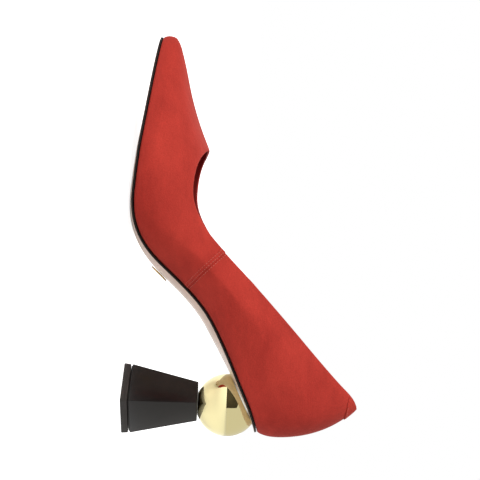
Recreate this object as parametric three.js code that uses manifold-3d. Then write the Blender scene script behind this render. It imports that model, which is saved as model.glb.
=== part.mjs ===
// A left women's pump: pointed suede upper, padded insole, thin leather sole with a rounded shank, and a
// high heel made of a mirror ball on a faceted block. Millimetres, +Z up, toe towards -X, and the outer
// side of the foot towards -Y. The origin is on the floor, below the middle of the whole shoe.
import * as THREE from 'three';
import { mergeVertices } from 'three/addons/utils/BufferGeometryUtils.js';
import Module from 'manifold-3d';

// The last: the form that upper, insole and sole all follow
const length = 243.5; // toe tip to the back of the counter, along the floor
const ballWidth = 80; // across the joints, over the upper
const ballEdge = 3.6; // top of the sole's edge over the floor, at the ball of the foot
const toeSpring = 10.4; // how much higher that edge is at the toe tip
const heelRise = 78.7; // how much higher it is at the back of the heel seat
const instepHeight = 40; // crown of the vamp over the edge, at the throat
const backHeight = 61; // back of the collar over the heel seat

// Leather goods
const wall = 1.8; // suede, stiffener and lining together
const clearance = 0.3; // between neighbouring pieces
const insoleThickness = 3.4; // padded sock and board
const soleEdge = 1.2; // edge of the outsole
const soleWelt = 0.4; // how far the outsole's edge stands out from the upper
const bottomDrop = 1.2; // how far the middle of the last's bottom lies below its edges
const tabThickness = 0.7;
const tabDrop = 11; // length of the back tab below the collar
const plateThickness = 0.8; // small plain plate under the waist
const plateLength = 12.5;
const plateWidth = 9;

// Heel
const heelSetback = 20; // heel's middle, in front of the back of the counter
const ballDiameter = 38;
const ballLean = 1.3; // how far the ball stands behind the middle of the block
const ballSeat = 11.6; // ball's middle below the underside of the heel seat
const ballSink = 1.3; // how deep the ball sits in the block
const blockTop = 24; // corner to corner
const blockFoot = 42;
const grooveHeight = 0.7; // shadow line between block and lift
const grooveDepth = 1.1;
const liftHeight = 4.2;
const liftFlare = 0.4; // how much wider the lift is at the floor, all round

// Featherline, where upper and sole meet. foot: place along the length; spring and rise: height as a share
// of toeSpring and of heelRise; out, in: half widths as shares of ballWidth; belly: how far the underside
// of the sole bulges below its edge, as a share of bottomBelly
const bottomBelly = 4.2;
const feather = rows('foot spring rise out in belly', [
  [0.005, 1.0, 0, 0, 0, 0.0],
  [0.017, 0.947, 0, 0.07, 0.069, 0.12],
  [0.042, 0.86, 0, 0.117, 0.114, 0.22],
  [0.09, 0.72, 0, 0.188, 0.181, 0.3],
  [0.158, 0.55, 0, 0.282, 0.273, 0.38],
  [0.232, 0.375, 0, 0.387, 0.363, 0.47],
  [0.289, 0.23, 0, 0.453, 0.41, 0.55],
  [0.31, 0.18, 0, 0.467, 0.418, 0.58],
  [0.33, 0.15, 0, 0.48, 0.425, 0.62],
  [0.355, 0.1, 0, 0.49, 0.428, 0.66],
  [0.387, 0.05, 0, 0.497, 0.42, 0.7],
  [0.425, 0, 0, 0.497, 0.397, 0.71],
  [0.467, 0, 0.01, 0.47, 0.348, 0.71],
  [0.511, 0, 0.052, 0.406, 0.278, 0.74],
  [0.557, 0, 0.148, 0.319, 0.219, 0.88],
  [0.6, 0, 0.293, 0.244, 0.188, 1.0],
  [0.65, 0, 0.459, 0.2, 0.181, 1.02],
  [0.698, 0, 0.587, 0.195, 0.19, 1.05],
  [0.752, 0, 0.684, 0.217, 0.217, 0.98],
  [0.809, 0, 0.774, 0.255, 0.255, 0.75],
  [0.865, 0, 0.853, 0.282, 0.282, 0.4],
  [0.918, 0, 0.931, 0.27, 0.27, 0.2],
  [0.961, 0, 0.979, 0.2, 0.2, 0.12],
  [0.988, 0, 1.0, 0, 0, 0.0],
]);

// Where the wall is widest, in the same sections. along: place along the length; level: height as a share
// of the wall's height there; out, in: half widths as shares of ballWidth
const widest = rows('along level out in', [
  [0.0, 0.45, 0, 0],
  [0.015, 0.38, 0.081, 0.079],
  [0.041, 0.35, 0.129, 0.126],
  [0.09, 0.32, 0.202, 0.196],
  [0.158, 0.3, 0.3, 0.291],
  [0.231, 0.26, 0.406, 0.383],
  [0.288, 0.225, 0.475, 0.431],
  [0.31, 0.233, 0.494, 0.444],
  [0.33, 0.25, 0.509, 0.452],
  [0.355, 0.27, 0.521, 0.458],
  [0.387, 0.29, 0.534, 0.456],
  [0.422, 0.297, 0.541, 0.444],
  [0.459, 0.327, 0.54, 0.427],
  [0.495, 0.392, 0.518, 0.411],
  [0.527, 0.475, 0.484, 0.4],
  [0.56, 0.516, 0.455, 0.39],
  [0.599, 0.536, 0.428, 0.382],
  [0.647, 0.558, 0.413, 0.38],
  [0.701, 0.555, 0.402, 0.379],
  [0.766, 0.52, 0.39, 0.377],
  [0.838, 0.465, 0.366, 0.376],
  [0.912, 0.36, 0.31, 0.333],
  [0.964, 0.265, 0.226, 0.255],
  [1.0, 0.192, 0, 0],
]);

// Top of the wall: the crown up to the throat's row, then the topline. instep and back: height over the
// featherline as shares of instepHeight and backHeight; bend: how far the section has turned over, degrees
const crown = rows('along instep back out in bend', [
  [0.01, 0.223, 0, 0, 0, 90],
  [0.024, 0.29, 0, 0, 0, 90],
  [0.046, 0.358, 0, 0, 0, 90],
  [0.091, 0.47, 0, 0, 0, 90],
  [0.157, 0.613, 0, 0, 0, 90],
  [0.23, 0.81, 0, 0, 0, 90],
  [0.287, 1.0, 0, 0, 0, 90],
  [0.297, 0.975, 0, 0.162, 0.178, 70],
  [0.317, 0.912, 0, 0.268, 0.296, 57],
  [0.348, 0.872, 0, 0.342, 0.375, 48],
  [0.382, 0.865, 0, 0.39, 0.4, 43],
  [0.413, 0.883, 0, 0.404, 0.402, 42],
  [0.444, 0.918, 0, 0.4, 0.398, 42],
  [0.472, 0.925, 0, 0.39, 0.387, 42],
  [0.499, 0.843, 0, 0.378, 0.377, 42],
  [0.526, 0.703, 0, 0.366, 0.362, 42],
  [0.559, 0.56, 0, 0.347, 0.344, 44],
  [0.604, 0, 0.388, 0.317, 0.314, 46],
  [0.66, 0, 0.48, 0.281, 0.275, 48],
  [0.725, 0, 0.61, 0.235, 0.225, 50],
  [0.791, 0, 0.752, 0.183, 0.175, 53],
  [0.851, 0, 0.88, 0.127, 0.122, 56],
  [0.89, 0, 0.975, 0.072, 0.07, 56],
  [0.916, 0, 1.0, 0, 0, 55],
]);
const throatRow = crown.findIndex((row) => row.out > 0) - 1; // the last row on the middle line

const lastRow = feather.length - 1;
const underArc = THREE.MathUtils.degToRad(64); // how far the wall turns under, from its widest level down
const OUT = -1; // outer side of the foot
const IN = 1;

function rows(names, values) {
  const keys = names.split(' ');
  return values.map((row) => Object.fromEntries(keys.map((key, i) => [key, row[i]])));
}

const edgeHeight = (row) => ballEdge + row.spring * toeSpring + row.rise * heelRise;
const wallHeight = (row) => row.instep * instepHeight + row.back * backHeight;

const sidePoint = (row, side, place, height) =>
  new THREE.Vector3(place * length, side * (side === OUT ? row.out : row.in) * ballWidth, height);

const featherPoint = (row, side) => sidePoint(row, side, row.foot, edgeHeight(row));

const widestPoint = (row, side, i) =>
  sidePoint(row, side, row.along, edgeHeight(feather[i]) + row.level * wallHeight(crown[i]));

const crownPoint = (row, side, i) =>
  sidePoint(row, side, row.along, edgeHeight(feather[i]) + wallHeight(row));

// A closed line round the shoe: outer side from the first row to the last, then the inner side back
function loopLine(table, first, point) {
  const outer = table.slice(first).map((row, k) => point(row, OUT, first + k));
  const inner = table.slice(first).map((row, k) => point(row, IN, first + k));
  const points = [...outer, ...inner.reverse().slice(1, -1)];
  const line = new THREE.CatmullRomCurve3(points, true, 'centripetal');
  return (side, r) => {
    const step = side === OUT ? r - first : points.length - (r - first);
    return line.getPoint(step / points.length);
  };
}

const footAt = loopLine(feather, 0, featherPoint);
const widestAt = loopLine(widest, 0, widestPoint);
const toplineAt = loopLine(crown, throatRow, crownPoint);
const crownLine = new THREE.CatmullRomCurve3(
  crown.slice(0, throatRow + 1).map((row, i) => crownPoint(row, OUT, i)), false, 'centripetal');

function topAt(side, r) {
  return r > throatRow ? toplineAt(side, r) : crownLine.getPoint(r / throatRow);
}

// A column's value between rows
function columnAt(table, key, r) {
  const i = Math.min(Math.floor(r), lastRow - 1);
  return THREE.MathUtils.lerp(table[i][key], table[i + 1][key], r - i);
}

const bellyShare = (r) => columnAt(feather, 'belly', r);

// Direction square to the sole at a section, in the shoe's middle plane
function soleNormal(r) {
  const reach = 0.75; // rows to each side over which the sole's slope is taken
  const from = footAt(OUT, Math.max(r - reach, 0));
  const to = footAt(OUT, Math.min(r + reach, lastRow));
  return new THREE.Vector3(from.z - to.z, 0, to.x - from.x).normalize();
}

// Outer surface of the upper: a runs from -1 at the sole over 0 at the widest level to 1 at the top
function skin(side, r, a) {
  const wide = widestAt(side, r);
  const end = a < 0 ? footAt(side, r).addScaledVector(soleNormal(r), clearance) : topAt(side, r);
  const arc = a < 0 ? underArc : THREE.MathUtils.degToRad(columnAt(crown, 'bend', r));
  const turn = Math.abs(a) * arc;
  const across = (1 - Math.cos(turn)) / (1 - Math.cos(arc));
  const rise = Math.sin(turn) / Math.sin(arc);
  return new THREE.Vector3(
    THREE.MathUtils.lerp(wide.x, end.x, across),
    THREE.MathUtils.lerp(wide.y, end.y, across),
    THREE.MathUtils.lerp(wide.z, end.z, rise),
  );
}

// A point of that surface moved square to it, outwards where the distance is positive
function skinOffset(side, r, a, distance) {
  const dr = 0.02;
  const da = 0.02;
  const point = skin(side, r, a);
  const ceiling = r <= throatRow ? throatRow : lastRow;
  const alongStep = skin(side, Math.min(r + dr, ceiling), a).sub(skin(side, Math.max(r - dr, 0), a));
  const upStep = skin(side, r, Math.min(a + da, 1)).sub(skin(side, r, Math.max(a - da, -1)));
  const normal = alongStep.cross(upStep).multiplyScalar(-side);
  if (a === -1) {
    const square = soleNormal(r);
    normal.addScaledVector(square, -normal.dot(square));
  }
  if (Math.abs(point.y) < 1e-6) {
    normal.y = 0;
    point.y = 0;
  }
  return point.addScaledVector(normal.normalize(), distance);
}

// Triangles between neighbouring rings of points, each ring a closed line. skip names the strips left open
function loft(rings, flip = false, skip = () => false) {
  const points = [];
  for (let i = 0; i + 1 < rings.length; i += 1) {
    const count = rings[i].length;
    for (let k = 0; k < count; k += 1) {
      if (skip(i, k)) continue;
      const next = (k + 1) % count;
      const corners = [rings[i][k], rings[i + 1][k], rings[i + 1][next], rings[i][next]];
      if (flip) corners.reverse();
      const [p, q, s, t] = corners;
      points.push(p, q, s, p, s, t);
    }
  }
  return points;
}

// One closed geometry from loose triangles: equal corners become one, empty triangles go
function closed(points) {
  const loose = new THREE.BufferGeometry().setFromPoints(points);
  return tidy(loose);
}

function tidy(geometry) {
  geometry.deleteAttribute('normal');
  geometry.deleteAttribute('uv');
  const merged = mergeVertices(geometry, 1e-3);
  const index = merged.getIndex().array;
  const kept = [];
  for (let i = 0; i < index.length; i += 3) {
    const [a, b, c] = [index[i], index[i + 1], index[i + 2]];
    if (a !== b && b !== c && c !== a) kept.push(a, b, c);
  }
  merged.setIndex(kept);
  return merged;
}

// Sections where rings are made, closer together at the toe, the throat and the back
function sections(from, to) {
  const found = [];
  for (let r = 0; r < lastRow; r += 1) {
    const close = r < 2 || r === throatRow || r >= lastRow - 2;
    const steps = close ? 3 : 2;
    for (let k = 0; k < steps; k += 1) found.push(r + k / steps);
  }
  found.push(lastRow);
  return found.filter((r) => r >= from && r <= to);
}

// Levels up the wall: a few below the widest line, more above it
const underLevels = [-1, -0.7, -0.35];
const overLevels = [0, 0.16, 0.32, 0.48, 0.64, 0.8, 0.92, 1];
const wallLevels = [...underLevels, ...overLevels];

function upperGeometry() {
  const stations = sections(0, lastRow);
  const throat = stations.indexOf(throatRow);
  const points = [OUT, IN].flatMap((side) => {
    const rings = stations.map((r) => [
      ...wallLevels.map((a) => skinOffset(side, r, a, 0)),
      ...wallLevels.toReversed().map((a) => skinOffset(side, r, a, -wall)),
    ]);
    const topEdge = wallLevels.length - 1;
    return loft(rings, side === IN, (i, k) => k === topEdge && i < throat);
  });
  return closed(points);
}

// Places across the sole, closer together at its edges
function across(count) {
  return Array.from({ length: count + 1 }, (_, i) => -Math.cos((i / count) * Math.PI));
}

// A point of the sole's upper face: v runs from -1 at the outer edge to 1 at the inner edge
function soleTop(r, v, proud = 0) {
  const outer = footAt(OUT, r);
  const inner = footAt(IN, r);
  const middle = outer.clone().lerp(inner, 0.5);
  const half = inner.sub(outer).multiplyScalar(0.5);
  const width = half.length();
  const point = middle.addScaledVector(half, width > 1e-6 ? v * (1 + proud / width) : 0);
  return point.addScaledVector(soleNormal(r), -bottomDrop * bellyShare(r) * (1 - v * v));
}

// Its underside, flat where it stands on the floor
function soleUnder(r, v, below = 0) {
  const point = soleTop(r, v, soleWelt);
  const swell = (bottomBelly - bottomDrop) * bellyShare(r) * (1 - Math.abs(v) ** 3);
  point.addScaledVector(soleNormal(r), -(soleEdge + swell + below));
  point.z = Math.max(point.z, below > 0 ? -Infinity : 0);
  return point;
}

function outsoleGeometry() {
  const places = across(8);
  const rings = sections(0, lastRow).map((r) => [
    ...places.map((v) => soleTop(r, v, soleWelt)),
    ...places.toReversed().map((v) => soleUnder(r, v)),
  ]);
  return closed(loft(rings));
}

// The insole fills the upper from the sole up, and its sides follow the lining
function insoleGeometry() {
  const places = across(6);
  const inset = wall + clearance;
  const rings = sections(0, lastRow).map((r) => {
    const depth = widestAt(OUT, r).z - footAt(OUT, r).z;
    const share = 1 - Math.min(insoleThickness / depth, 0.9);
    const topLevel = -Math.asin(share * Math.sin(underArc)) / underArc;
    const edge = (side, a) => skinOffset(side, r, a, -inset);
    const middleLevel = (topLevel - 1) / 2;
    const square = soleNormal(r);
    const span = (a, v) => edge(OUT, a).lerp(edge(IN, a), (1 + v) / 2)
      .addScaledVector(square, -bottomDrop * bellyShare(r) * (1 - v * v));
    return [
      ...places.map((v) => span(topLevel, v)),
      edge(IN, middleLevel),
      ...places.toReversed().map((v) => span(-1, v)),
      edge(OUT, middleLevel),
    ];
  });
  return closed(loft(rings));
}

// Back tab: a small flap laid on the wall just under the collar's edge, longest and thickest on the back seam
function tabGeometry() {
  const reach = 1.3; // how far it runs round each side, in rows
  const top = 0.985; // level of its upper edge
  const thinning = 0.5; // share of its thickness lost towards its ends
  const fullness = 0.8; // 0.5 would give its lower edge the curve of an ellipse
  const back = skin(OUT, lastRow, 1);
  const drop = (a) => skin(OUT, lastRow, a).distanceTo(back);
  let tip = 1;
  while (drop(tip) < tabDrop) tip -= 0.01;
  const stepsRound = 6;
  const levels = [0, 0.5, 1];
  const rings = [];
  for (let i = -stepsRound; i <= stepsRound; i += 1) {
    const share = i / stepsRound;
    const side = share < 0 ? OUT : IN;
    const r = lastRow - reach * Math.abs(share);
    const low = THREE.MathUtils.lerp(top, tip, (1 - share * share) ** fullness);
    const thickness = tabThickness * (1 - thinning * share * share);
    const column = (distance) => levels.map((level) =>
      skinOffset(side, r, THREE.MathUtils.lerp(low, top, level), distance));
    rings.push([...column(clearance + thickness), ...column(clearance).reverse()]);
  }
  return closed([...loft(rings), ...capEnds(rings)]);
}

// Flat ends for a loft whose first and last rings are not closed up
function capEnds(rings) {
  const fan = (ring) => ring.slice(2).flatMap((point, k) => [ring[0], ring[k + 1], point]);
  const first = fan(rings[0]);
  const last = fan(rings.at(-1).toReversed());
  return [...first, ...last];
}

// Plain plate under the waist of the sole
function plateGeometry() {
  const middle = 14.66; // row at the plate's middle
  const endWidth = 0.15; // square of the share of its width left at its ends
  const rowLength = footAt(OUT, middle + 0.5).distanceTo(footAt(OUT, middle - 0.5));
  const half = footAt(OUT, middle).distanceTo(footAt(IN, middle)) / 2;
  const reach = plateLength / rowLength / 2;
  const spread = plateWidth / half / 2;
  const steps = 6;
  const rings = [];
  for (let i = 0; i <= steps; i += 1) {
    const share = (2 * i) / steps - 1;
    const r = middle + share * reach;
    const wide = spread * Math.sqrt(1 - (1 - endWidth) * share * share);
    const places = [-wide, -wide / 2, 0, wide / 2, wide];
    rings.push([
      ...places.map((v) => soleUnder(r, v, clearance)),
      ...places.toReversed().map((v) => soleUnder(r, v, clearance + plateThickness)),
    ]);
  }
  return closed([...loft(rings), ...capEnds(rings)]);
}

const wasm = await Module();
wasm.setup();

function toManifold(geometry) {
  const plain = tidy(geometry);
  const vertProperties = new Float32Array(plain.getAttribute('position').array);
  const triVerts = new Uint32Array(plain.getIndex().array);
  return new wasm.Manifold(new wasm.Mesh({ numProp: 3, vertProperties, triVerts }));
}

function fromManifold(solid) {
  const mesh = solid.getMesh();
  const geometry = new THREE.BufferGeometry();
  geometry.setAttribute('position', new THREE.BufferAttribute(new Float32Array(mesh.vertProperties), 3));
  geometry.setIndex(new THREE.BufferAttribute(new Uint32Array(mesh.triVerts), 1));
  return geometry;
}

// Heel: its middle, and the heights of its pieces from the floor up to the seat
const heelMiddle = length - heelSetback;
const ballMiddle = heelMiddle + ballLean;

function heelRow() {
  let r = lastRow - 5;
  while (soleUnder(r, 0).x < ballMiddle) r += 0.02;
  return r;
}

const ballRadius = ballDiameter / 2;
const ballHeight = soleUnder(heelRow(), 0).z - ballSeat;
const blockHeight = ballHeight - ballRadius + ballSink - clearance;

// Everything above the seat's underside, as a bar across the shoe
function seatCutter() {
  const bar = 60; // height and length of the bar
  const margin = 20; // how far it runs past the seat
  const under = sections(lastRow - 6, lastRow).map((r) => soleUnder(r, 0, clearance));
  const first = under[0];
  const last = under.at(-1);
  const profile = new THREE.Shape([
    new THREE.Vector2(first.x - margin, first.z),
    ...under.map((point) => new THREE.Vector2(point.x, point.z)),
    new THREE.Vector2(last.x + margin, last.z),
    new THREE.Vector2(last.x + margin, last.z + bar),
    new THREE.Vector2(first.x - margin, last.z + bar),
  ]);
  const geometry = new THREE.ExtrudeGeometry(profile, { depth: bar, bevelEnabled: false });
  return geometry.rotateX(Math.PI / 2).translate(0, bar / 2, 0);
}

function heelBallGeometry() {
  const sphere = new THREE.SphereGeometry(ballRadius, 36, 20).rotateX(Math.PI / 2);
  const foot = new THREE.BoxGeometry(ballDiameter, ballDiameter, ballDiameter);
  foot.translate(0, 0, ballSink - ballDiameter);
  const whole = toManifold(sphere.translate(ballMiddle, 0, ballHeight));
  const cut = toManifold(seatCutter());
  const flat = toManifold(foot.translate(ballMiddle, 0, ballHeight));
  return fromManifold(whole.subtract(cut).subtract(flat));
}

// A turned profile with four sides gives a square section with its corners along X and Y
function fourSided(profile) {
  const outline = profile.map(([radius, height]) => new THREE.Vector2(radius, height));
  const geometry = new THREE.LatheGeometry(outline, 4);
  return tidy(geometry.rotateX(Math.PI / 2).translate(heelMiddle, 0, 0));
}

function blockGeometry() {
  const low = liftHeight + clearance;
  const neck = blockFoot / 2 - grooveDepth;
  return fourSided([
    [0, low],
    [neck, low],
    [neck, low + grooveHeight],
    [blockFoot / 2, low + grooveHeight],
    [blockTop / 2, blockHeight],
    [0, blockHeight],
  ]);
}

function liftGeometry() {
  return fourSided([
    [0, 0],
    [blockFoot / 2 + liftFlare, 0],
    [blockFoot / 2, liftHeight],
    [0, liftHeight],
  ]);
}

const suede = { color: 0xc64135, roughness: 0.95, metalness: 0 };
const finishes = {
  upper: suede,
  back_tab: { color: 0xb83a30, roughness: 0.95, metalness: 0 },
  insole: { color: 0xb43c37, roughness: 0.55, metalness: 0 },
  outsole: { color: 0xd7beaf, roughness: 0.35, metalness: 0 },
  sole_plate: { color: 0xd8c07a, roughness: 0.25, metalness: 1 },
  heel_ball: { color: 0xded496, roughness: 0.05, metalness: 1 },
  heel_block: { color: 0x201c1b, roughness: 0.3, metalness: 0 },
  heel_lift: { color: 0x2a2725, roughness: 0.5, metalness: 0 },
};

const geometries = {
  upper: upperGeometry(),
  back_tab: tabGeometry(),
  insole: insoleGeometry(),
  outsole: outsoleGeometry(),
  sole_plate: plateGeometry(),
  heel_ball: heelBallGeometry(),
  heel_block: blockGeometry(),
  heel_lift: liftGeometry(),
};

const shoe = new THREE.Group();
for (const [name, geometry] of Object.entries(geometries)) {
  geometry.computeVertexNormals();
  const mesh = new THREE.Mesh(geometry, new THREE.MeshStandardMaterial(finishes[name]));
  mesh.name = name;
  shoe.add(mesh);
}

const box = new THREE.Box3().setFromObject(shoe);
const middle = box.getCenter(new THREE.Vector3());
shoe.position.set(-middle.x, -middle.y, -box.min.z);
shoe.updateMatrixWorld(true);

export default shoe;
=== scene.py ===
"""Dresses a left high-heeled pump.

It has a red suede upper, a padded sock, a nude leather sole, and a mirror-gold ball on a black block.
"""
import math

import bmesh
import bpy
from bpy.props import FloatProperty, FloatVectorProperty, PointerProperty
from mathutils import Matrix, Vector
from mathutils.bvhtree import BVHTree


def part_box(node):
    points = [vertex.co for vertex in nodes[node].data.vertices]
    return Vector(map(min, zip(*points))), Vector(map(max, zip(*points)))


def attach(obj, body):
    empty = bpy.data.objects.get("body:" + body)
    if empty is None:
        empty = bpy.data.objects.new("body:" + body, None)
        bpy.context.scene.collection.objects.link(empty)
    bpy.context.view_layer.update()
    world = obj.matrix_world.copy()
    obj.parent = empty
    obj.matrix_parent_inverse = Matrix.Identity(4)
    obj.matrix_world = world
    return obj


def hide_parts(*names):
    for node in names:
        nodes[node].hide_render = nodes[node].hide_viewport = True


bl_info = {
    "name": "High Heel Pump",
    "version": (1, 0, 0),
    "blender": (4, 5, 0),
    "location": "3D View > Sidebar > Pump",
    "description": "Dresses the packed solids of a high-heeled pump",
    "category": "Add Mesh",
}

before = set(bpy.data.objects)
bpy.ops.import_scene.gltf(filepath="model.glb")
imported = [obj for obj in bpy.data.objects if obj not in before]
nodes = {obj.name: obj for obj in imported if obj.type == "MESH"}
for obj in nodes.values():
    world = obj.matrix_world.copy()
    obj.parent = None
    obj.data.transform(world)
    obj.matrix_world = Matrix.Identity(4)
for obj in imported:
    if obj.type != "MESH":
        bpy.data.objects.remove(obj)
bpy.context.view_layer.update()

MM = 0.001
BODY = "root"
UPPER_LOW, UPPER_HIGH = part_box("upper")
LENGTH = UPPER_HIGH.x - UPPER_LOW.x
TOE = UPPER_LOW.x
BALL_LOW, BALL_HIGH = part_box("heel_ball")
MIDDLE_Y = (BALL_LOW.y + BALL_HIGH.y) / 2

# Side seams, in the side view: places along the shoe as shares of its length, heights in metres
SEAM_TOP = Vector((TOE + 0.547 * LENGTH, 0, 0.0591))
SEAM_FOOT = Vector((TOE + 0.648 * LENGTH, 0, 0.0344))

# How far a seam's groove and lap reach from the side seams, and from the seam down the back
SIDE_REACH = 12 * MM
BACK_REACH = 4 * MM

# Angles at which a solid's faces part: suede from lining, the sock's top from its side, the sole from
# its edge. The sole and the tab also stay crisp along edges that fold by more
LINING_FOLD = math.radians(52)
SOCK_FOLD = math.radians(35)
SOLE_FOLD = math.radians(30)
TAB_FOLD = math.radians(50)

TAB_SHARE = 0.5  # how much of its height over the suede the back tab keeps once it is glued down
TAB_PITCH = 1.5 * MM
SOCK_PITCH = 2.3 * MM

# How far a stitch's middle stands off the leather, in thicknesses of the thread
STITCH_LIFT = 0.2
SOCK_LIFT = 0.15


def linear(code):
    """An sRGB hex code as a linear colour with alpha."""
    shares = [int(code[i:i + 2], 16) / 255 for i in (1, 3, 5)]
    return [c / 12.92 if c <= 0.04045 else ((c + 0.055) / 1.055) ** 2.4 for c in shares] + [1.0]


def length(name, description, default, low=0.0, high=1.0):
    return FloatProperty(name=name, description=description, default=default, min=low, max=high,
                         unit="LENGTH", subtype="DISTANCE", precision=5)


def colour(name, description, code):
    return FloatVectorProperty(name=name, description=description, default=linear(code), size=4,
                               min=0, max=1, subtype="COLOR")


class PumpSizes(bpy.types.PropertyGroup):
    """Sizes of the trimmings; the pieces' own sizes come from the frame."""

    seam_width: length("Seam width", "Width of the groove along a closed seam", 0.8 * MM)
    seam_depth: length("Seam depth", "Depth of that groove", 0.45 * MM)
    lap: length("Lap", "How far the vamp's edge stands over the quarter", 0.5 * MM)
    stitch_pitch: length("Stitch pitch", "From one stitch to the next", 1.7 * MM)
    stitch_length: length("Stitch length", "Length of the thread that shows", 1.05 * MM)
    thread: length("Thread", "Thickness of the thread", 0.38 * MM)
    stitch_edge: length("Stitch margin", "From a seam to its first stitches", 0.9 * MM)
    stitch_gap: length("Row gap", "From the vamp's first row of stitches to its second", 1.8 * MM)
    sock_margin: length("Sock margin", "From the sock's edge to its stitches", 3.6 * MM)
    sock_crown: length("Sock crown", "How far the padding rises inside the stitches", 1.1 * MM)
    sock_roll: length("Sock roll", "How far the rolled edge rises", 0.7 * MM)
    sock_trough: length("Sock trough", "How deep the stitches pull in", 0.5 * MM)
    heel_edge: length("Heel edge", "Rounding of the block's edges", 0.5 * MM)


class PumpColours(bpy.types.PropertyGroup):
    """Colours of the finishes."""

    suede: colour("Suede", "Suede of the upper where the nap lies flat", "#AF352C")
    suede_light: colour("Raised nap", "Suede where the nap is brushed up", "#BE3D32")
    lining: colour("Lining", "Smooth lining leather", "#93302C")
    sock: colour("Sock", "Padded insole leather", "#B4403A")
    thread: colour("Thread", "Tonal sewing thread", "#CC6554")
    sole: colour("Sole", "Nude sole leather", "#EAD0BE")
    edge: colour("Edge paint", "Painted edge of the sole", "#150C09")
    gold: colour("Gold", "Pale gold plating", "#E4D9A6")
    plate: colour("Plate", "Brushed gold of the plate under the waist", "#B8954A")
    lacquer: colour("Lacquer", "Black of the heel block", "#120E0D")
    tip: colour("Heel tip", "Rubber of the lift", "#2C2826")


def add(tree, kind, inputs=None, **settings):
    """A new node with its settings, its input values and its links."""
    made = tree.nodes.new(kind)
    for key, value in settings.items():
        setattr(made, key, value)
    for key, value in (inputs or {}).items():
        if isinstance(value, bpy.types.NodeSocket):
            tree.links.new(value, made.inputs[key])
        else:
            made.inputs[key].default_value = value
    return made


def new_material(name):
    made = bpy.data.materials.new(name)
    made.use_nodes = True
    made.node_tree.nodes.clear()
    return made, made.node_tree


def close_material(tree, shader):
    add(tree, "ShaderNodeOutputMaterial", {"Surface": shader.outputs["BSDF"]})


def grains(tree, size, detail=2.0, stretch=(1, 1, 1)):
    """Noise whose patches are about that size, in metres, on the object's own coordinates."""
    place = add(tree, "ShaderNodeTexCoord").outputs["Object"]
    placed = add(tree, "ShaderNodeMapping", {"Vector": place, "Scale": stretch})
    noise = add(tree, "ShaderNodeTexNoise", {
        "Vector": placed.outputs["Vector"],
        "Scale": 1 / size,
        "Detail": detail,
        "Roughness": 0.55,
    })
    return noise.outputs["Fac"]


def set_mix(mix, factor, low, high, tree):
    """Links or sets the colour sockets of a Mix node."""
    for socket in mix.inputs:
        value = {"Factor_Float": factor, "A_Color": low, "B_Color": high}.get(socket.identifier)
        if value is None:
            continue
        if isinstance(value, bpy.types.NodeSocket):
            tree.links.new(value, socket)
        else:
            socket.default_value = value


def mixed_colour(tree, share, low, high, blend="MIX"):
    mix = add(tree, "ShaderNodeMix", data_type="RGBA", blend_type=blend)
    set_mix(mix, share, low, high, tree)
    return next(socket for socket in mix.outputs if socket.identifier == "Result_Color")


def spread(tree, value, low, high, to_low=0.0, to_high=1.0):
    return add(tree, "ShaderNodeMapRange", {
        "Value": value, "From Min": low, "From Max": high, "To Min": to_low, "To Max": to_high,
    }).outputs["Result"]


def bump(tree, layers):
    """Bumps one over the other, each a height and its depth in metres."""
    normal = None
    for height, depth in layers:
        inputs = {"Height": height, "Strength": 1.0, "Distance": depth}
        if normal is not None:
            inputs["Normal"] = normal
        normal = add(tree, "ShaderNodeBump", inputs).outputs["Normal"]
    return normal


def suede(name, base, light):
    """Suede, buffed to a short nap.

    That gives no gloss, a soft rim of light, and patches where the nap lies differently.
    """
    made, tree = new_material(name)
    patches = grains(tree, 22 * MM, 3.0, (0.6, 1, 1))
    strokes = grains(tree, 7 * MM, 4.0, (0.45, 1, 1))
    # Real nap is about 0.1 mm; it is drawn at 0.8 mm so that it shows at this distance
    nap = grains(tree, 0.8 * MM, 3.0)
    body = mixed_colour(tree, spread(tree, patches, 0.3, 0.7), base, light)
    shade = spread(tree, strokes, 0.25, 0.75, 0.9, 1.08)
    fine = spread(tree, nap, 0.25, 0.75, 0.9, 1.1)
    tone = add(tree, "ShaderNodeMath", {0: shade, 1: fine}, operation="MULTIPLY").outputs[0]
    grey = add(tree, "ShaderNodeCombineColor",
               {"Red": tone, "Green": tone, "Blue": tone}).outputs[0]
    shader = add(tree, "ShaderNodeBsdfPrincipled", {
        "Base Color": mixed_colour(tree, 1.0, body, grey, "MULTIPLY"),
        "Roughness": 0.93,
        "Specular IOR Level": 0.15,
        "Sheen Weight": 0.25,
        "Sheen Roughness": 0.35,
        "Sheen Tint": (1.0, 0.5, 0.42, 1.0),
        "Normal": bump(tree, [(nap, 0.12 * MM), (strokes, 0.25 * MM)]),
    })
    close_material(tree, shader)
    return made


def grained_leather(name, base, roughness, grain, depth, coat=0.0):
    """Finished leather: a close pebble that the finish fills, satin to the eye."""
    made, tree = new_material(name)
    place = add(tree, "ShaderNodeTexCoord").outputs["Object"]
    pebble = add(tree, "ShaderNodeTexVoronoi", {"Vector": place, "Scale": 1 / grain},
                 feature="SMOOTH_F1").outputs["Distance"]
    wear = grains(tree, 12 * MM, 3.0)
    dark = [c * 0.86 for c in base[:3]] + [1.0]
    shader = add(tree, "ShaderNodeBsdfPrincipled", {
        "Base Color": mixed_colour(tree, spread(tree, wear, 0.3, 0.7), dark, base),
        "Roughness": spread(tree, wear, 0.3, 0.7, roughness + 0.06, roughness - 0.04),
        "Specular IOR Level": 0.35,
        "Coat Weight": coat,
        "Coat Roughness": 0.2,
        "Normal": bump(tree, [(pebble, depth)]),
    })
    close_material(tree, shader)
    return made


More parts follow.
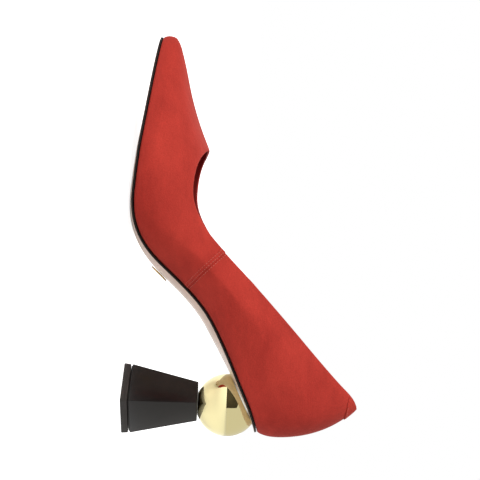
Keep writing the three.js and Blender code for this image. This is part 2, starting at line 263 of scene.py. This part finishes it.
def plated(name, base, roughness):
    """Electroplated gold.

    That gives a mirror with hardly any haze on the polished ball, and a satin on the brushed plate.
    """
    made, tree = new_material(name)
    haze = grains(tree, 9 * MM, 2.0)
    shader = add(tree, "ShaderNodeBsdfPrincipled", {
        "Base Color": base,
        "Metallic": 1.0,
        "Roughness": spread(tree, haze, 0.3, 0.7, roughness, roughness + 0.03),
    })
    close_material(tree, shader)
    return made


def lacquered(name, base, roughness, coat):
    """Moulded heel, sprayed: flat facets with a soft reflection and the faintest orange peel."""
    made, tree = new_material(name)
    peel = grains(tree, 1.6 * MM, 2.0)
    cloud = grains(tree, 15 * MM, 2.0)
    light = [min(1.0, c * 1.5) for c in base[:3]] + [1.0]
    shader = add(tree, "ShaderNodeBsdfPrincipled", {
        "Base Color": mixed_colour(tree, spread(tree, cloud, 0.3, 0.7), base, light),
        "Roughness": roughness,
        "Specular IOR Level": 0.3,
        "Coat Weight": coat,
        "Coat Roughness": 0.12,
        "Normal": bump(tree, [(peel, 0.015 * MM)]),
    })
    close_material(tree, shader)
    return made


def thread_material(name, base):
    """Spun polyester thread: a twist across its length, slightly shiny."""
    made, tree = new_material(name)
    twist = grains(tree, 0.4 * MM, 1.0)
    dark = [c * 0.8 for c in base[:3]] + [1.0]
    shader = add(tree, "ShaderNodeBsdfPrincipled", {
        "Base Color": mixed_colour(tree, twist, dark, base),
        "Roughness": 0.6,
        "Sheen Weight": 0.2,
    })
    close_material(tree, shader)
    return made


def link(name, mesh, materials):
    """An object for a finished mesh, at the origin, with its materials."""
    made = bpy.data.objects.new(name, mesh)
    bpy.context.scene.collection.objects.link(made)
    for item in materials:
        mesh.materials.append(item)
    return made


def merged(node):
    """A bmesh of a CAD node's solid, its corners joined and its triangle pairs made into quads."""
    bm = bmesh.new()
    bm.from_mesh(nodes[node].data)
    bmesh.ops.remove_doubles(bm, verts=bm.verts, dist=0.004 * MM)
    bmesh.ops.join_triangles(bm, faces=bm.faces, angle_face_threshold=math.radians(50),
                             angle_shape_threshold=math.radians(60))
    bm.normal_update()
    return bm


def regions(bm, limit):
    """Groups of faces that meet at less than the limit angle, largest area first."""
    left = set(bm.faces)
    found = []
    while left:
        start = left.pop()
        group = {start}
        queue = [start]
        while queue:
            face = queue.pop()
            for edge in face.edges:
                for other in edge.link_faces:
                    if other in left and other.normal.angle(face.normal, 0) < limit:
                        left.discard(other)
                        group.add(other)
                        queue.append(other)
        found.append(group)
    return sorted(found, key=lambda group: -sum(face.calc_area() for face in group))


def facing(groups, sign):
    """The largest of the groups of faces that looks up, with sign 1, or down, with sign -1."""
    return next(group for group in groups
                if sign * sum(face.normal.z * face.calc_area() for face in group) > 0)


def breadth(faces):
    """How wide a group of faces is, from one side of the shoe to the other."""
    across = [vert.co.y for face in faces for vert in face.verts]
    return max(across) - min(across)


def crease_sharp(bm, limit, weight):
    """Keeps the edges that fold by more than the limit angle firmer when the piece is subdivided."""
    layer = bm.edges.layers.float.get("crease_edge") or bm.edges.layers.float.new("crease_edge")
    for edge in bm.edges:
        if len(edge.link_faces) == 2 and edge.calc_face_angle(0) > limit:
            edge[layer] = weight


def to_mesh(bm, name):
    mesh = bpy.data.meshes.new(name)
    bm.to_mesh(mesh)
    bm.free()
    mesh.shade_smooth()
    return mesh


def settle(made):
    """Applies an object's modifiers, so that only a plain mesh is left."""
    graph = bpy.context.evaluated_depsgraph_get()
    mesh = bpy.data.meshes.new_from_object(made.evaluated_get(graph))
    made.modifiers.clear()
    old = made.data
    made.data = mesh
    bpy.data.meshes.remove(old)
    return made


def subdivide(made, levels=2):
    modifier = made.modifiers.new("Subdivision", "SUBSURF")
    modifier.levels = levels
    modifier.render_levels = levels
    return settle(made)


def edit(made, change):
    """Runs a change on the object's mesh as a bmesh."""
    bm = bmesh.new()
    bm.from_mesh(made.data)
    change(bm)
    bm.to_mesh(made.data)
    bm.free()
    made.data.update()


def dress(made, slot, *replaced):
    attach(made, BODY)
    if replaced:
        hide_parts(*replaced)
    return made


def score(bm, origin, normal, width, depth, belongs, lap=0.0):
    """Presses a groove along a plane into its faces.

    The side that the normal points away from is lifted where it laps over the other one.
    """
    steps = (-1.5, -1.0, -0.5, 0.0, 0.5, 1.0, 1.5)  # places of the cuts, in half widths of the groove
    lap_edge = -0.1 * width
    lap_fade = 4 * width
    for step in steps:
        faces = [face for face in bm.faces if belongs(face)]
        around = {edge for face in faces for edge in face.edges}
        corners = {vert for face in faces for vert in face.verts}
        bmesh.ops.bisect_plane(bm, geom=[*corners, *around, *faces], dist=0.01 * MM,
                               plane_co=origin + normal * (step * width / 2), plane_no=normal)
    bm.normal_update()
    pressed = {vert for face in bm.faces if belongs(face) for vert in face.verts}
    for vert in pressed:
        off = (vert.co - origin).dot(normal)
        groove = depth * math.exp(-((off / (width / 2)) ** 2))
        raised = lap * math.exp(off / lap_fade) if off < lap_edge else 0.0
        vert.co += vert.normal * (raised - groove)


def seam_normal():
    run = (SEAM_FOOT - SEAM_TOP).normalized()
    return Vector((-run.z, 0, run.x))


def make_stitch_tree():
    """Geometry nodes that sew stitches along a path of edges."""
    tree = bpy.data.node_groups.new("Stitches", "GeometryNodeTree")
    tree.is_modifier = True
    face = tree.interface
    face.new_socket("Geometry", in_out="INPUT", socket_type="NodeSocketGeometry")
    face.new_socket("Geometry", in_out="OUTPUT", socket_type="NodeSocketGeometry")
    for name in ("Pitch", "Length", "Thread"):
        face.new_socket(name, in_out="INPUT", socket_type="NodeSocketFloat")
    face.new_socket("Material", in_out="INPUT", socket_type="NodeSocketMaterial")
    given = add(tree, "NodeGroupInput").outputs
    curve = add(tree, "GeometryNodeMeshToCurve", {"Mesh": given["Geometry"]})
    places = add(tree, "GeometryNodeResampleCurve",
                 {"Curve": curve.outputs["Curve"], "Length": given["Pitch"]}, mode="LENGTH")
    along = add(tree, "GeometryNodeInputTangent").outputs["Tangent"]
    turn = add(tree, "FunctionNodeAlignRotationToVector", {"Vector": along}, axis="Z")
    bead = add(tree, "GeometryNodeMeshUVSphere", {"Segments": 6, "Rings": 5, "Radius": 0.5})
    size = add(tree, "ShaderNodeCombineXYZ",
               {"X": given["Thread"], "Y": given["Thread"], "Z": given["Length"]})
    stitches = add(tree, "GeometryNodeInstanceOnPoints", {
        "Points": places.outputs["Curve"],
        "Instance": bead.outputs["Mesh"],
        "Rotation": turn.outputs["Rotation"],
        "Scale": size.outputs["Vector"],
    })
    real = add(tree, "GeometryNodeRealizeInstances", {"Geometry": stitches.outputs["Instances"]})
    smooth = add(tree, "GeometryNodeSetShadeSmooth", {"Geometry": real.outputs["Geometry"]})
    coated = add(tree, "GeometryNodeSetMaterial",
                 {"Geometry": smooth.outputs["Geometry"], "Material": given["Material"]})
    add(tree, "NodeGroupOutput", {"Geometry": coated.outputs["Geometry"]})
    return tree


def sew(name, path, coat, pitch=None):
    """A row of stitches along a path of points, as one plain mesh."""
    sizes = bpy.context.scene.pump_sizes
    tree = bpy.data.node_groups.get("Stitches") or make_stitch_tree()
    mesh = bpy.data.meshes.new(name)
    mesh.from_pydata(path, [(i, i + 1) for i in range(len(path) - 1)], [])
    made = bpy.data.objects.new(name, mesh)
    bpy.context.scene.collection.objects.link(made)
    modifier = made.modifiers.new("Stitches", "NODES")
    modifier.node_group = tree
    given = {
        "Pitch": pitch or sizes.stitch_pitch,
        "Length": sizes.stitch_length,
        "Thread": sizes.thread,
        "Material": coat,
    }
    for item in tree.interface.items_tree:
        if item.in_out == "INPUT" and item.name in given:
            modifier[item.identifier] = given[item.name]
    return settle(made)


def surface_tree(made):
    mesh = made.data
    return BVHTree.FromPolygons([vert.co for vert in mesh.vertices],
                                [tuple(face.vertices) for face in mesh.polygons])


def press(made, tree, share):
    """Brings a piece closer to the surface that it lies on, to a share of its distance."""
    for vert in made.data.vertices:
        place = tree.find_nearest(vert.co)[0]
        vert.co = place.lerp(vert.co, share)


def cast(tree, start, direction, lift):
    """Where a ray first meets a surface, lifted off it a little."""
    place, normal, _, _ = tree.ray_cast(start, direction)
    if place is None:
        return None
    if normal.dot(direction) > 0:
        normal = -normal
    return place + normal * lift


class PUMP_OT_upper(bpy.types.Operator):
    """Suede upper with its lining, side seams and back seam"""

    bl_idname = "pump.upper"
    bl_label = "Upper"

    def execute(self, context):
        sizes, colours = context.scene.pump_sizes, context.scene.pump_colours
        coat = suede("Brushed suede", colours.suede, colours.suede_light)
        inside = grained_leather("Lining leather", colours.lining, 0.5, 0.9 * MM, 0.05 * MM)
        bm = merged("upper")
        walls = regions(bm, LINING_FOLD)[:2]
        lining = min(walls, key=breadth)
        for face in lining:
            face.material_index = 1
        made = subdivide(link("upper_suede", to_mesh(bm, "upper_suede"), [coat, inside]))
        normal = seam_normal()

        def by_side_seam(face):
            off = (face.calc_center_median() - SEAM_TOP).dot(normal)
            return face.material_index == 0 and abs(off) < SIDE_REACH

        def by_back_seam(face):
            middle = face.calc_center_median()
            off = middle.y - MIDDLE_Y
            return face.material_index == 0 and abs(off) < BACK_REACH and middle.x > 0

        def sew_closed(bm):
            width, depth = sizes.seam_width, sizes.seam_depth
            score(bm, SEAM_TOP, normal, width, depth, by_side_seam, sizes.lap)
            score(bm, Vector((0, MIDDLE_Y, 0)), Vector((0, 1, 0)), width, depth, by_back_seam)

        edit(made, sew_closed)
        made.data.shade_smooth()
        dress(made, "suede", "upper")
        return {"FINISHED"}


class PUMP_OT_stitching(bpy.types.Operator):
    """Tonal stitches beside the side seams"""

    bl_idname = "pump.stitching"
    bl_label = "Stitching"

    def execute(self, context):
        sizes, colours = context.scene.pump_sizes, context.scene.pump_colours
        coat = thread_material("Tonal thread", colours.thread)
        tree = surface_tree(bpy.data.objects["upper_suede"])
        normal = seam_normal()
        points = 24
        first, run = 0.04, 0.9  # where the rows start and how long they are, as shares of the seam
        beside = 80 * MM  # further from the middle than the shoe reaches
        rows = (("edge", -sizes.stitch_edge), ("vamp", -sizes.stitch_edge - sizes.stitch_gap),
                ("quarter", sizes.stitch_edge))
        for side, reach in (("outer", -1), ("inner", 1)):
            for row, off in rows:
                path = []
                for i in range(points + 1):
                    share = first + run * i / points
                    start = SEAM_TOP.lerp(SEAM_FOOT, share) + normal * off
                    start.y = MIDDLE_Y + reach * beside
                    place = cast(tree, start, Vector((0, -reach, 0)), sizes.thread * STITCH_LIFT)
                    if place is not None and (place.y - MIDDLE_Y) * reach > 0:
                        path.append(place)
                made = sew(f"stitches_{side}_{row}", path, coat)
                dress(made, "suede")
        return {"FINISHED"}


class PUMP_OT_back_tab(bpy.types.Operator):
    """Small suede tab over the back seam, with its row of stitches"""

    bl_idname = "pump.back_tab"
    bl_label = "Back tab"

    def execute(self, context):
        sizes, colours = context.scene.pump_sizes, context.scene.pump_colours
        bm = merged("back_tab")
        crease_sharp(bm, TAB_FOLD, weight=0.2)
        made = link("back_tab_suede", to_mesh(bm, "back_tab_suede"),
                    [suede("Tab suede", colours.suede_light, colours.suede_light)])
        subdivide(made, levels=3)
        press(made, surface_tree(bpy.data.objects["upper_suede"]), TAB_SHARE)
        dress(made, "suede", "back_tab")
        tree = surface_tree(made)
        low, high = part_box("back_tab")
        steps = 16
        climb = 0.25 * MM
        inset = 0.8 * MM  # from the tab's side edges to the ends of the row
        behind = high.x + MM
        forward = Vector((-1, 0, 0))
        path = []
        for i in range(steps + 1):
            y = low.y + inset + (high.y - low.y - 2 * inset) * i / steps
            z = low.z
            while z < high.z and cast(tree, Vector((behind, y, z)), forward, 0) is None:
                z += climb
            place = cast(tree, Vector((behind, y, z + sizes.stitch_edge)), forward,
                         sizes.thread * STITCH_LIFT)
            if place is not None:
                path.append(place)
        coat = thread_material("Tab thread", colours.thread)
        dress(sew("stitches_tab", path, coat, TAB_PITCH), "suede")
        return {"FINISHED"}


class PUMP_OT_insole(bpy.types.Operator):
    """Padded leather sock with a rolled edge and a sewn channel"""

    bl_idname = "pump.insole"
    bl_label = "Insole"

    def execute(self, context):
        sizes, colours = context.scene.pump_sizes, context.scene.pump_colours
        bm = merged("insole")
        top = facing(regions(bm, SOCK_FOLD), 1)
        for face in bm.faces:
            face.material_index = 0 if face in top else 1
        coat = grained_leather("Sock leather", colours.sock, 0.5, 0.8 * MM, 0.04 * MM)
        made = link("insole_sock", to_mesh(bm, "insole_sock"), [coat, coat])
        subdivide(made)
        rim = outline(made)

        def pad(bm):
            bm.normal_update()
            for vert in bm.verts:
                if not all(face.material_index == 0 for face in vert.link_faces):
                    continue
                off = min(distance_to(vert.co, a, b) for a, b in rim)
                vert.co += vert.normal * padding(off, sizes)

        edit(made, pad)
        made.data.shade_smooth()
        dress(made, "sock", "insole")
        self.sew_sock(made, rim, sizes, colours)
        return {"FINISHED"}

    def sew_sock(self, made, rim, sizes, colours):
        """A row of stitches all round the sock, from the vamp back round the heel."""
        tree = surface_tree(made)
        start_x = TOE + 0.2 * LENGTH  # the row starts and ends under the vamp
        above = Vector((0, 0, 12 * MM))
        starts = [a for a, _ in rim]
        outer = sorted((p for p in starts if p.y < MIDDLE_Y and p.x > start_x), key=lambda p: p.x)
        inner = sorted((p for p in starts if p.y >= MIDDLE_Y and p.x > start_x), key=lambda p: -p.x)
        loop = outer + inner
        path = []
        for i in range(1, len(loop) - 1):
            run = loop[i + 1] - loop[i - 1]
            inward = Vector((-run.y, run.x, 0)).normalized()
            over = loop[i] + inward * sizes.sock_margin + above
            place = cast(tree, over, Vector((0, 0, -1)), sizes.thread * SOCK_LIFT)
            if place is not None:
                path.append(place)
        coat = thread_material("Sock thread", colours.thread)
        dress(sew("stitches_sock", path, coat, SOCK_PITCH), "sock")


def outline(made):
    """The edges between the sock's top and its side, as pairs of points."""
    finishes = {}
    for face in made.data.polygons:
        for key in face.edge_keys:
            finishes.setdefault(key, set()).add(face.material_index)
    points = made.data.vertices
    return [(points[a].co.copy(), points[b].co.copy())
            for (a, b), kinds in finishes.items() if len(kinds) == 2]


def distance_to(point, a, b):
    """From a point to the straight line between a and b."""
    along = b - a
    least = 1e-12  # keeps a line without length from dividing by nothing
    share = max(0.0, min(1.0, (point - a).dot(along) / max(along.length_squared, least)))
    return (a + along * share - point).length


def padding(off, sizes):
    """How far the sock rises at a distance from its edge: a roll, the sewn channel, the padding."""
    margin = sizes.sock_margin
    crown_run = 3 * MM  # over this run the padding gains about two thirds of its height
    channel_half = 0.9 * MM
    roll = sizes.sock_roll * math.sin(math.pi * min(off / margin, 1.0))
    inside = max(off - margin, 0.0)
    crown = sizes.sock_crown * (1 - math.exp(-inside / crown_run))
    channel = sizes.sock_trough * math.exp(-(((off - margin) / channel_half) ** 2))
    return roll + crown - channel


class PUMP_OT_sole(bpy.types.Operator):
    """Nude leather sole with a painted edge, and the plain plate under its waist"""

    bl_idname = "pump.sole"
    bl_label = "Sole"

    def execute(self, context):
        colours = context.scene.pump_colours
        bm = merged("outsole")
        under = facing(regions(bm, SOLE_FOLD), -1)
        for face in bm.faces:
            face.material_index = 0 if face in under else 1
        crease_sharp(bm, SOLE_FOLD, weight=0.7)
        nude = grained_leather("Sole leather", colours.sole, 0.3, 1.2 * MM, 0.02 * MM, coat=0.25)
        edge = lacquered("Edge paint", colours.edge, 0.6, coat=0.0)
        made = subdivide(link("outsole_leather", to_mesh(bm, "outsole_leather"), [nude, edge]))
        dress(made, "sole_leather", "outsole")
        bm = merged("sole_plate")
        plate = link("sole_plate_gold", to_mesh(bm, "sole_plate_gold"),
                     [plated("Brushed plate", colours.plate, 0.3)])
        soften(plate, 0.3 * MM)
        dress(plate, "gold_plating", "sole_plate")
        return {"FINISHED"}


def soften(made, width):
    """Rounds the sharp edges of a piece with a bevel."""
    modifier = made.modifiers.new("Bevel", "BEVEL")
    modifier.width = width
    modifier.segments = 3
    modifier.limit_method = "ANGLE"
    modifier.angle_limit = math.radians(25)
    settle(made)
    made.data.shade_smooth()
    made.data.set_sharp_from_angle(angle=math.radians(40))


class PUMP_OT_heel(bpy.types.Operator):
    """Mirror ball, faceted block and lift"""

    bl_idname = "pump.heel"
    bl_label = "Heel"

    def execute(self, context):
        sizes, colours = context.scene.pump_sizes, context.scene.pump_colours
        gold = plated("Gold plating", colours.gold, 0.03)
        made = link("heel_ball_gold", to_mesh(self.ball(), "heel_ball_gold"), [gold])
        made.data.set_sharp_from_angle(angle=math.radians(35))
        dress(made, "gold_plating", "heel_ball")
        block = lacquered("Black heel lacquer", colours.lacquer, 0.32, coat=0.2)
        tip = lacquered("Heel tip rubber", colours.tip, 0.5, coat=0.1)
        pieces = (("heel_block", "heel_lacquer", block), ("heel_lift", "heel_tip", tip))
        for node, slot, coat in pieces:
            bm = merged(node)
            bmesh.ops.dissolve_limit(bm, angle_limit=math.radians(3), verts=bm.verts,
                                     edges=bm.edges)
            piece = link(node + "_finished", to_mesh(bm, node), [coat])
            soften(piece, sizes.heel_edge)
            dress(piece, slot, node)
        return {"FINISHED"}

    def ball(self):
        """A smooth ball with the solid's flats, for the seat above and the block below."""
        solid = nodes["heel_ball"].data
        leaning = 0.3  # the upward share of the normal that a face of the seat has at least
        within = 0.97  # the seat's faces lie nearer to the centre than this share of the radius
        widest = max((vert.co for vert in solid.vertices), key=lambda p: abs(p.y - MIDDLE_Y))
        centre = Vector(((BALL_LOW.x + BALL_HIGH.x) / 2, MIDDLE_Y, widest.z))
        radius = (BALL_HIGH.y - BALL_LOW.y) / 2
        seat = [face for face in solid.polygons
                if face.normal.z > leaning and (face.center - centre).length < radius * within]
        area = sum(face.area for face in seat)
        middle = sum((face.center * face.area for face in seat), Vector()) / area
        slope = sum((face.normal * face.area for face in seat), Vector()).normalized()
        bm = bmesh.new()
        bmesh.ops.create_uvsphere(bm, u_segments=96, v_segments=64, radius=radius,
                                  matrix=Matrix.Translation(centre))
        cuts = ((middle, slope), (Vector((0, 0, BALL_LOW.z)), Vector((0, 0, -1))))
        for place, normal in cuts:
            bmesh.ops.bisect_plane(bm, geom=[*bm.verts, *bm.edges, *bm.faces], dist=1e-6,
                                   plane_co=place, plane_no=normal, clear_outer=True)
            rim = [edge for edge in bm.edges if len(edge.link_faces) == 1]
            bmesh.ops.holes_fill(bm, edges=rim, sides=0)
        bmesh.ops.recalc_face_normals(bm, faces=bm.faces)
        return bm


class PUMP_OT_stage(bpy.types.Operator):
    """Pale floor, soft studio light and the camera of the side view"""

    bl_idname = "pump.stage"
    bl_label = "Stage"

    def execute(self, context):
        self.floor()
        self.world(context.scene)
        self.lights()
        self.camera(context.scene)
        context.scene.view_settings.view_transform = "Standard"
        context.scene.view_settings.look = "None"
        return {"FINISHED"}

    def floor(self):
        """A white floor, bright enough to run into the white behind it."""
        half = 60.0
        corners = [(-half, -half, 0), (half, -half, 0), (half, half, 0), (-half, half, 0)]
        mesh = bpy.data.meshes.new("floor")
        mesh.from_pydata(corners, [], [(0, 1, 2, 3)])
        made, tree = new_material("White studio floor")
        rays = add(tree, "ShaderNodeLightPath").outputs
        mirrored, direct = 0.4, 0.9  # how brightly the floor glows in the ball and in the picture
        glow = spread(tree, rays["Is Glossy Ray"], 0, 1, 0.0, mirrored)
        seen = spread(tree, rays["Is Camera Ray"], 0, 1, glow, direct)
        shader = add(tree, "ShaderNodeBsdfPrincipled", {
            "Base Color": linear("#F7F6F5"),
            "Roughness": 0.8,
            "Specular IOR Level": 0.0,
            "Emission Color": (1, 1, 1, 1),
            "Emission Strength": seen,
        })
        close_material(tree, shader)
        link("floor", mesh, [made])

    def world(self, scene):
        """White behind the shoe, a soft fill round it, and a brighter tent for the ball to mirror."""
        world = bpy.data.worlds.new("Studio")
        scene.world = world
        world.use_nodes = True
        tree = world.node_tree
        tree.nodes.clear()
        seen = add(tree, "ShaderNodeBackground", {"Color": (1, 1, 1, 1), "Strength": 1.0})
        fill = add(tree, "ShaderNodeBackground", {"Color": linear("#E9ECF0"), "Strength": 0.54})
        tent = add(tree, "ShaderNodeBackground", {"Color": linear("#F4F2EC"), "Strength": 0.88})
        rays = add(tree, "ShaderNodeLightPath").outputs
        lit = add(tree, "ShaderNodeMixShader",
                  {0: rays["Is Glossy Ray"], 1: fill.outputs[0], 2: tent.outputs[0]})
        mix = add(tree, "ShaderNodeMixShader",
                  {0: rays["Is Camera Ray"], 1: lit.outputs[0], 2: seen.outputs[0]})
        add(tree, "ShaderNodeOutputWorld", {"Surface": mix.outputs[0]})

    def lights(self):
        """A large box over the toe, a softer one on the camera's side and a strip behind."""
        softbox("key", (-0.75, -0.55, 1.05), 0.7, 0.7, 9)
        front = softbox("front", (-0.75, -1.3, 0.6), 1.3, 0.8, 11)
        front.visible_glossy = False
        softbox("rim", (0.1, 1.0, 1.0), 1.2, 0.5, 6)
        self.flag()

    def flag(self):
        """A grey card behind the camera, on the toe's side.

        The camera doesn't see it. It dims what the ball mirrors there.
        """
        half_width, half_height = 1.5, 0.84
        middle = Vector((-0.84, -1.29, 0.85))
        side = Vector((0.81, -0.59, 0)) * half_width
        up = Vector((0, 0, half_height))
        corners = [middle - side - up, middle + side - up, middle + side + up, middle - side + up]
        mesh = bpy.data.meshes.new("flag")
        mesh.from_pydata(corners, [], [(0, 1, 2, 3)])
        made, tree = new_material("Grey card")
        shader = add(tree, "ShaderNodeBsdfPrincipled", {
            "Base Color": linear("#5F574A"),
            "Roughness": 0.9,
            "Specular IOR Level": 0.1,
        })
        close_material(tree, shader)
        card = link("flag", mesh, [made])
        card.visible_camera = False

    def camera(self, scene):
        """The side view: a little from behind and above, rolled so that the toe points up."""
        azimuth, elevation, lean = (math.radians(a) for a in (2.5, 0.5, 2.65))
        distance = 0.85
        shown = 0.294  # width of the frame at the shoe
        target = Vector((1.5 * MM, MIDDLE_Y, 66.9 * MM))
        back = Vector((math.sin(azimuth) * math.cos(elevation),
                       -math.cos(azimuth) * math.cos(elevation),
                       math.sin(elevation)))
        right = Vector((math.cos(azimuth), math.sin(azimuth), 0))
        up = back.cross(right)
        rolled_right = up * math.cos(lean) - right * math.sin(lean)
        rolled_up = -right * math.cos(lean) - up * math.sin(lean)
        data = bpy.data.cameras.new("camera")
        data.sensor_width = 36
        data.lens = data.sensor_width * distance / shown
        made = bpy.data.objects.new("camera", data)
        turn = Matrix((rolled_right, rolled_up, back)).transposed()
        made.matrix_world = Matrix.Translation(target + back * distance) @ turn.to_4x4()
        scene.collection.objects.link(made)
        scene.camera = made


def softbox(name, place, width, height, power):
    """A box of light that faces the shoe."""
    heart = Vector((0.02, 0, 0.06))
    data = bpy.data.lights.new(name, "AREA")
    data.shape = "RECTANGLE"
    data.size = width
    data.size_y = height
    data.energy = power
    made = bpy.data.objects.new(name, data)
    made.location = place
    aim = heart - Vector(place)
    made.rotation_euler = aim.to_track_quat("-Z", "Y").to_euler()
    bpy.context.scene.collection.objects.link(made)
    return made


class PUMP_PT_panel(bpy.types.Panel):
    """Sizes, colours and the pieces"""

    bl_idname = "PUMP_PT_panel"
    bl_label = "Pump"
    bl_space_type = "VIEW_3D"
    bl_region_type = "UI"
    bl_category = "Pump"

    def draw(self, context):
        for group in (context.scene.pump_sizes, context.scene.pump_colours):
            box = self.layout.box()
            for name in group.__annotations__:
                box.prop(group, name)
        for operator in OPERATORS:
            self.layout.operator(operator.bl_idname)


OPERATORS = (PUMP_OT_stage, PUMP_OT_upper, PUMP_OT_stitching, PUMP_OT_back_tab, PUMP_OT_insole,
             PUMP_OT_sole, PUMP_OT_heel)
CLASSES = (PumpSizes, PumpColours, *OPERATORS, PUMP_PT_panel)


def register():
    for item in CLASSES:
        bpy.utils.register_class(item)
    bpy.types.Scene.pump_sizes = PointerProperty(type=PumpSizes)
    bpy.types.Scene.pump_colours = PointerProperty(type=PumpColours)


def unregister():
    del bpy.types.Scene.pump_colours
    del bpy.types.Scene.pump_sizes
    for item in reversed(CLASSES):
        bpy.utils.unregister_class(item)


def main():
    register()
    bpy.ops.pump.stage()
    bpy.ops.pump.upper()
    bpy.ops.pump.stitching()
    bpy.ops.pump.back_tab()
    bpy.ops.pump.insole()
    bpy.ops.pump.sole()
    bpy.ops.pump.heel()


if __name__ == "__main__":
    main()
